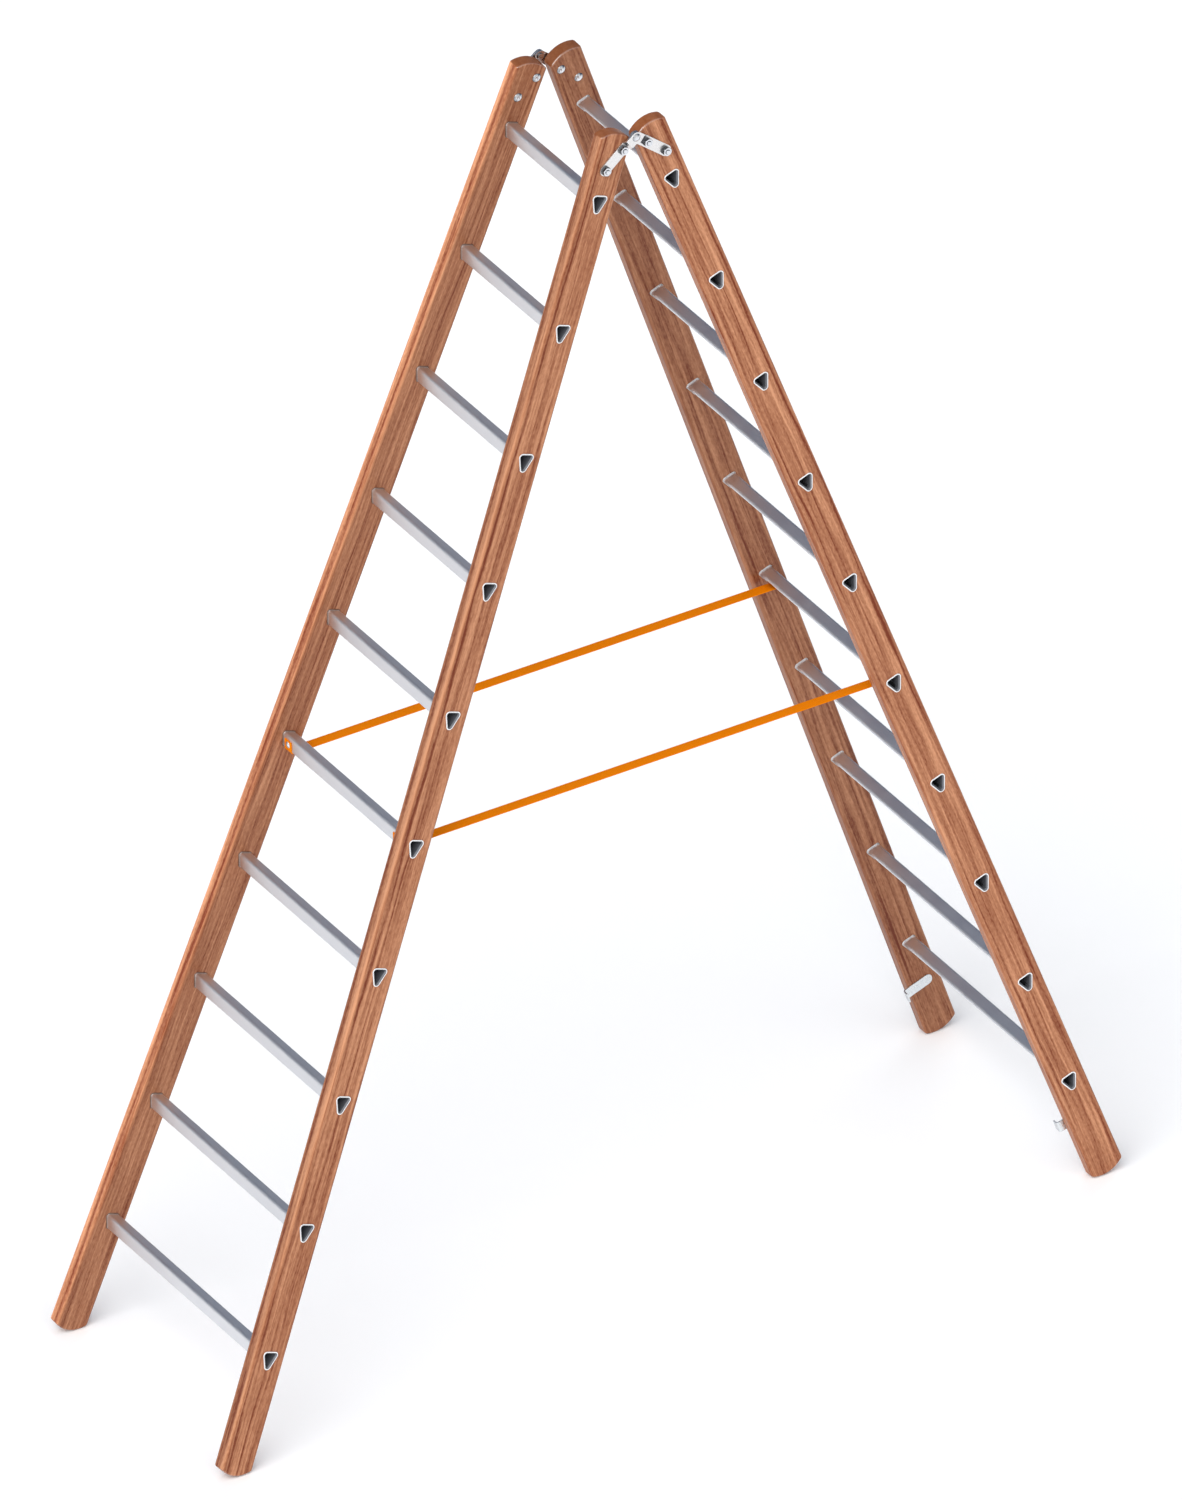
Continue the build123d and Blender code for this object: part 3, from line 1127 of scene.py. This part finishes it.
@dataclass
class LadderSection:
    """One ladder section: two timber stiles and their aluminium rungs."""

    side: Side
    timber: VarnishedFir
    aluminium: MillAluminium
    seed: float
    # Tones of the near and the far stile, matched to the photograph: partly the boards' own
    # tones and partly painted light and shade.
    tones_and_light: tuple[BoardToneAndLight, BoardToneAndLight]
    # Sets the far stile's figure apart from the near one's.
    seed_step: float = 3.1
    rung_count: int = 10

    def dress(self, frame: dict[str, Any]) -> None:
        """Finish the stiles and make the rungs.

        Args:
            frame: The loaded frame.
        """
        for number, (flank, tone) in enumerate(zip(Flank, self.tones_and_light)):
            name = f"{self.side.value}_{flank.value}_stile"
            board = BoardFrame.of(frame["nodes"][name], flank, self.side)
            finish = f"varnished_fir_{self.side.value}_{flank.value}"
            seed = self.seed + self.seed_step * number
            dress(frame, name, self.timber.material(finish, board, seed, tone))
        aluminium = self.aluminium.material()
        for number in range(1, self.rung_count + 1):
            FlaredRung(self.side, number).build(frame, aluminium)


@dataclass
class Ironwork:
    """The strap hinges, the guide plates, and all their bolts, nuts, screws and rivets."""

    leaf_plating: BrightMetal = BrightMetal("zinc_plated_leaves", "#E8E6E5", "#D0D0D0")
    plate_plating: BrightMetal = BrightMetal("zinc_plated_plates", "#E3E8EA", "#CDD1D4")
    # The fasteners' flanks are painted much darker than their faces, as shade.
    fastener_plating: BrightMetal = BrightMetal(
        "zinc_plated_fasteners", "#E0E2E6", "#4C4E52", 0.2, (0.55, 0.95)
    )
    rivet_metal: BrightMetal = BrightMetal("rivet_aluminium", "#E6E7EA", "#E6E7EA", 0.3)

    def dress(self, frame: dict[str, Any]) -> None:
        """Finish the hinges, plates and rivets.

        Args:
            frame: The loaded frame.
        """
        leaf_plating = self.leaf_plating.material()
        plate_plating = self.plate_plating.material()
        fasteners = self.fastener_plating.material()
        rivet_metal = self.rivet_metal.material()
        for flank in Flank:
            for piece in ("guide_plate", "plate_screws"):
                dress(frame, f"{flank.value}_{piece}", plate_plating)
            dress(frame, f"{flank.value}_hinge_rivet", fasteners)
            for side in Side:
                dress(frame, f"{side.value}_{flank.value}_hinge_leaf", leaf_plating)
                for piece in ("hinge_bolts", "hinge_nuts"):
                    dress(frame, f"{side.value}_{flank.value}_{piece}", fasteners)
        for side in Side:
            dress(frame, f"{side.value}_strap_rivets", rivet_metal)


@dataclass
class WebbingStrap:
    """A strap that is stretched under two rungs and turned up the outer flank of each."""

    flank: Flank
    rung_number: int = 6
    thickness: float = 2.0 * MM
    rung_corner: float = 4.75 * MM
    clearance: float = 0.25 * MM
    turned_up: float = 21.0 * MM
    flank_lean: float = 1.6
    edge_steps: int = 6
    bend_steps: int = 14
    span_step: float = 20 * MM

    def __post_init__(self) -> None:
        """Take the strap's place from its node in the construction model."""
        low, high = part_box(self.node)
        self.width: float = high.x - low.x
        self.middle: float = (high.x + low.x) / 2
        wrap = self.rung_corner + self.clearance + self.thickness
        lean = math.radians(self.flank_lean)
        reach = wrap * math.cos(lean) + self.turned_up * math.sin(lean)
        self.corner_y: float = high.y - reach
        self.corner_z: float = low.z + wrap
        self.bend_radius: float = wrap - self.thickness / 2
        self.bend_angle: float = math.radians(90 - self.flank_lean)
        self.span_height: float = self.corner_z - self.bend_radius

    @property
    def node(self) -> str:
        """Name of the node that the webbing stands for."""
        return f"{self.flank.value}_strap"

    def profile(self) -> list[tuple[float, float]]:
        """Cross-section of the webbing, with rounded selvedges.

        Returns:
            Points as distances across the strap and out of its face.
        """
        radius = self.thickness / 2
        points = []
        for sign in (1, -1):
            for step in range(self.edge_steps + 1):
                angle = math.pi * (step / self.edge_steps - 0.5)
                across = self.width / 2 - radius + radius * math.cos(angle)
                points.append((sign * across, sign * radius * math.sin(angle)))
        return points

    def ribbon(
        self, name: str, stations: list[tuple[Vector, Vector]], material: Material
    ) -> Object:
        """Sweep the cross-section along a line.

        Args:
            name: Name of the piece.
            stations: Points along the middle of the webbing, with the direction out of its face.
            material: Finish of the webbing.

        Returns:
            The new piece, closed at both ends, with a map in metres.
        """
        profile = self.profile()
        count = len(profile)
        mesh = bmesh.new()
        lengthwise = [0.0]
        for (before, _), (after, _) in zip(stations, stations[1:]):
            lengthwise.append(lengthwise[-1] + (after - before).length)
        rings = []
        for point, out in stations:
            corners = [point + Vector((x, 0, 0)) + out * h for x, h in profile]
            rings.append([mesh.verts.new(corner) for corner in corners])
        map_layer = mesh.loops.layers.uv.new("webbing")
        for row, (ring, following) in enumerate(zip(rings, rings[1:])):
            for k in range(count):
                after = (k + 1) % count
                face = mesh.faces.new((ring[k], ring[after], following[after], following[k]))
                face.smooth = True
                places = ((k, row), (after, row), (after, row + 1), (k, row + 1))
                for loop, (column, station) in zip(face.loops, places):
                    loop[map_layer].uv = (profile[column][0], lengthwise[station])
        mesh.faces.new(list(reversed(rings[0])))
        mesh.faces.new(rings[-1])
        bmesh.ops.recalc_face_normals(mesh, faces=mesh.faces)
        return make_object(name, mesh, material)

    def turn_up(self, side: Side) -> list[tuple[Vector, Vector]]:
        """Stations round the bottom of a rung and up its outer flank.

        Args:
            side: The section whose rung the webbing goes round.

        Returns:
            Points with the direction out of the webbing's outer face.
        """
        centre = Vector((self.middle, side.outward * self.corner_y, self.corner_z))
        stations = []
        for step in range(self.bend_steps + 1):
            angle = self.bend_angle * step / self.bend_steps
            out = Vector((0, side.outward * math.sin(angle), -math.cos(angle)))
            stations.append((centre + out * self.bend_radius, out))
        point, out = stations[-1]
        up = Vector((0, -side.outward * out.z, side.outward * out.y))
        stations.append((point + up * self.turned_up, out))
        return stations

    def span(self) -> list[tuple[Vector, Vector]]:
        """Stations of the straight stretch between the two rungs.

        Returns:
            Points from left to right, with the direction out of the webbing's lower face.
        """
        down = Vector((0, 0, -1))
        count = round(2 * self.corner_y / self.span_step)
        places = [self.corner_y * (2 * k / count - 1) for k in range(count + 1)]
        return [(Vector((self.middle, y, self.span_height)), down) for y in places]

    def build(self, frame: dict[str, Any], material: Material) -> None:
        """Make the strap's pieces and let them follow the fold.

        Args:
            frame: The loaded frame.
            material: Finish of the webbing.
        """
        for side in Side:
            end = self.ribbon(f"{self.node}_{side.value}_end", self.turn_up(side), material)
            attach(end, side.body)
            self.declare(end, self.bend_radius * self.bend_angle + self.turned_up)
        span = self.ribbon(f"{self.node}_span", self.span(), material)
        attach(span, Side.LEFT.body)
        self.gather(span, frame["joints"][0])
        self.declare(span, 2 * self.corner_y)

    def declare(self, piece: Object, length: float) -> None:
        """Hide the node that the webbing stands for, and log the piece's name and length.

        Args:
            piece: The piece.
            length: Its length along the webbing.
        """
        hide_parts(self.node)
        LOG.info("%s is %.0f mm long", piece.name, length / MM)

    def gather(self, span: Object, joint: dict[str, Any]) -> None:
        """Give the span its own mesh; the folded place of its right end is worked out but not used.

        Args:
            span: The stretch between the rungs.
            joint: The fold between the two sections.
        """
        right = Vector((self.middle, self.corner_y, self.span_height))
        pivot = Vector(joint["pos_m"])
        turn = Matrix.Rotation(math.radians(joint["range_deg"][1]), 3, Vector(joint["axis"]))
        folded = Vector((self.middle, pivot.y, pivot.z))
        folded += turn @ (right - folded)
        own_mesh(span)


@dataclass
class Studio:
    """Pale floor, soft light and the camera at the photograph's angle."""

    floor_radius: float = 8.0
    floor_sides: int = 96
    floor_colour: str = "#FEFEFE"
    floor_roughness: float = 0.9
    floor_specular: float = 0.1
    # What is seen past the floor's edge, so that the floor seems to go on.
    ground: str = "#FFFFFF"
    front_sky: str = "#FFFFFF"
    back_sky: str = "#5A677D"
    front: Triple = (0.70, -0.60, 0.39)
    # Where the sky begins to brighten towards the front, and where it is bright, as cosines.
    front_turn: Range = (-0.1, 0.6)
    # Half of the height over which the ground changes to the sky, as a sine.
    horizon: float = 0.01
    sun_from: Triple = (0.36, -0.64, 0.68)
    sun_strength: float = 1.85
    # A weak light from behind lifts the back. The metal shows the sky there and not this light.
    fill_from: Triple = (-0.62, 0.62, 0.48)
    fill_strength: float = 0.7
    light_spread: float = 50.0
    camera_azimuth: float = 57.768
    camera_elevation: float = 32.957
    camera_distance: float = 108.225
    aim: Triple = (0.01384, 0.0, 1.20395)
    # The photograph shows no perspective, so the lens is very long.
    lens_mm: float = 1300.0

    def build(self) -> None:
        """Make the floor, the light and the camera."""
        self.lay_floor()
        self.set_sky()
        self.add_light("broad_light", self.sun_from, self.sun_strength)
        fill = self.add_light("fill_light", self.fill_from, self.fill_strength)
        fill.visible_glossy = False
        self.place_camera()
        bpy.context.scene.view_settings.view_transform = "Standard"

    def lay_floor(self) -> None:
        """Lay a round floor under the ladder's feet, painted matt white so that nothing shines."""
        mesh = bmesh.new()
        bmesh.ops.create_circle(
            mesh, cap_ends=True, segments=self.floor_sides, radius=self.floor_radius
        )
        material, _, shader = new_material("matt_white_floor")
        shader.inputs["Base Color"].default_value = linear(self.floor_colour)
        shader.inputs["Roughness"].default_value = self.floor_roughness
        shader.inputs["Specular IOR Level"].default_value = self.floor_specular
        make_object("floor", mesh, material)

    def set_sky(self) -> None:
        """Set a sky that is bright in front and grey behind, over a white ground."""
        world = bpy.data.worlds.new("studio")
        world.use_nodes = True
        bpy.context.scene.world = world
        tree = world.node_tree
        coords = add_node(tree, "ShaderNodeTexCoord")
        to_front, height = (
            add_node(
                tree,
                "ShaderNodeVectorMath",
                {0: coords.outputs["Generated"], 1: Vector(direction).normalized()},
                operation="DOT_PRODUCT",
            )
            for direction in (self.front, AXIS_Z)
        )
        share = add_node(
            tree,
            "ShaderNodeMapRange",
            {
                "Value": to_front.outputs["Value"],
                "From Min": self.front_turn[0],
                "From Max": self.front_turn[1],
            },
            interpolation_type="SMOOTHSTEP",
        )
        sky = add_node(
            tree,
            "ShaderNodeMix",
            {
                MIX_SHARE: share.outputs["Result"],
                MIX_FROM: linear(self.back_sky),
                MIX_TO: linear(self.front_sky),
            },
            data_type="RGBA",
        )
        above = add_node(
            tree,
            "ShaderNodeMapRange",
            {
                "Value": height.outputs["Value"],
                "From Min": -self.horizon,
                "From Max": self.horizon,
            },
        )
        around = add_node(
            tree,
            "ShaderNodeMix",
            {
                MIX_SHARE: above.outputs["Result"],
                MIX_FROM: linear(self.ground),
                MIX_TO: sky.outputs[MIXED],
            },
            data_type="RGBA",
        )
        tree.links.new(around.outputs[MIXED], tree.nodes["Background"].inputs["Color"])

    def add_light(self, name: str, come_from: Triple, strength: float) -> Object:
        """Add a broad, soft light that is far away.

        Args:
            name: Name of the light.
            come_from: Direction that it comes from.
            strength: Its strength.

        Returns:
            The light.
        """
        lamp = bpy.data.lights.new(name, "SUN")
        lamp.energy = strength
        lamp.angle = math.radians(self.light_spread)
        light = bpy.data.objects.new(name, lamp)
        light.rotation_euler = Vector(come_from).to_track_quat("Z", "Y").to_euler()
        bpy.context.scene.collection.objects.link(light)
        return light

    def place_camera(self) -> None:
        """Aim the camera as the photograph was taken."""
        azimuth = math.radians(self.camera_azimuth)
        elevation = math.radians(self.camera_elevation)
        level = math.cos(elevation)
        back = Vector((math.sin(azimuth) * level, -math.cos(azimuth) * level, math.sin(elevation)))
        lens = bpy.data.cameras.new("camera")
        lens.lens = self.lens_mm
        lens.clip_end = 2 * self.camera_distance
        camera = bpy.data.objects.new("camera", lens)
        camera.location = Vector(self.aim) + back * self.camera_distance
        camera.rotation_euler = back.to_track_quat("Z", "Y").to_euler()
        bpy.context.scene.collection.objects.link(camera)
        bpy.context.scene.camera = camera


def main() -> None:
    """Build the stepladder's looks in order."""
    logging.basicConfig(level=logging.INFO, format="%(name)s: %(message)s")
    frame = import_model()
    timber = VarnishedFir()
    # In the photograph the left section's collars hardly stand out from the timber, and the
    # right section's are bright. The left collars' brown colour is a painted reflection of the
    # timber.
    left = LadderSection(
        side=Side.LEFT,
        timber=timber,
        aluminium=MillAluminium("mill_aluminium_left", collar_colour_and_reflection="#A88E80"),
        seed=2.0,
        tones_and_light=(BoardToneAndLight(face=1.0, edge=0.87), BoardToneAndLight(face=0.88, edge=1.28)),
    )
    right = LadderSection(
        side=Side.RIGHT,
        timber=timber,
        aluminium=MillAluminium(
            "mill_aluminium_right", collar_colour_and_reflection="#FAFBFC", collar_metallic=0.2
        ),
        seed=9.0,
        tones_and_light=(BoardToneAndLight(face=1.03, edge=1.0), BoardToneAndLight(face=0.78, edge=0.78)),
    )
    left.dress(frame)
    right.dress(frame)
    Ironwork().dress(frame)
    webbing = PolyesterWebbing().material()
    for flank in Flank:
        WebbingStrap(flank).build(frame, webbing)
    Studio().build()


if __name__ == "__main__":
    main()
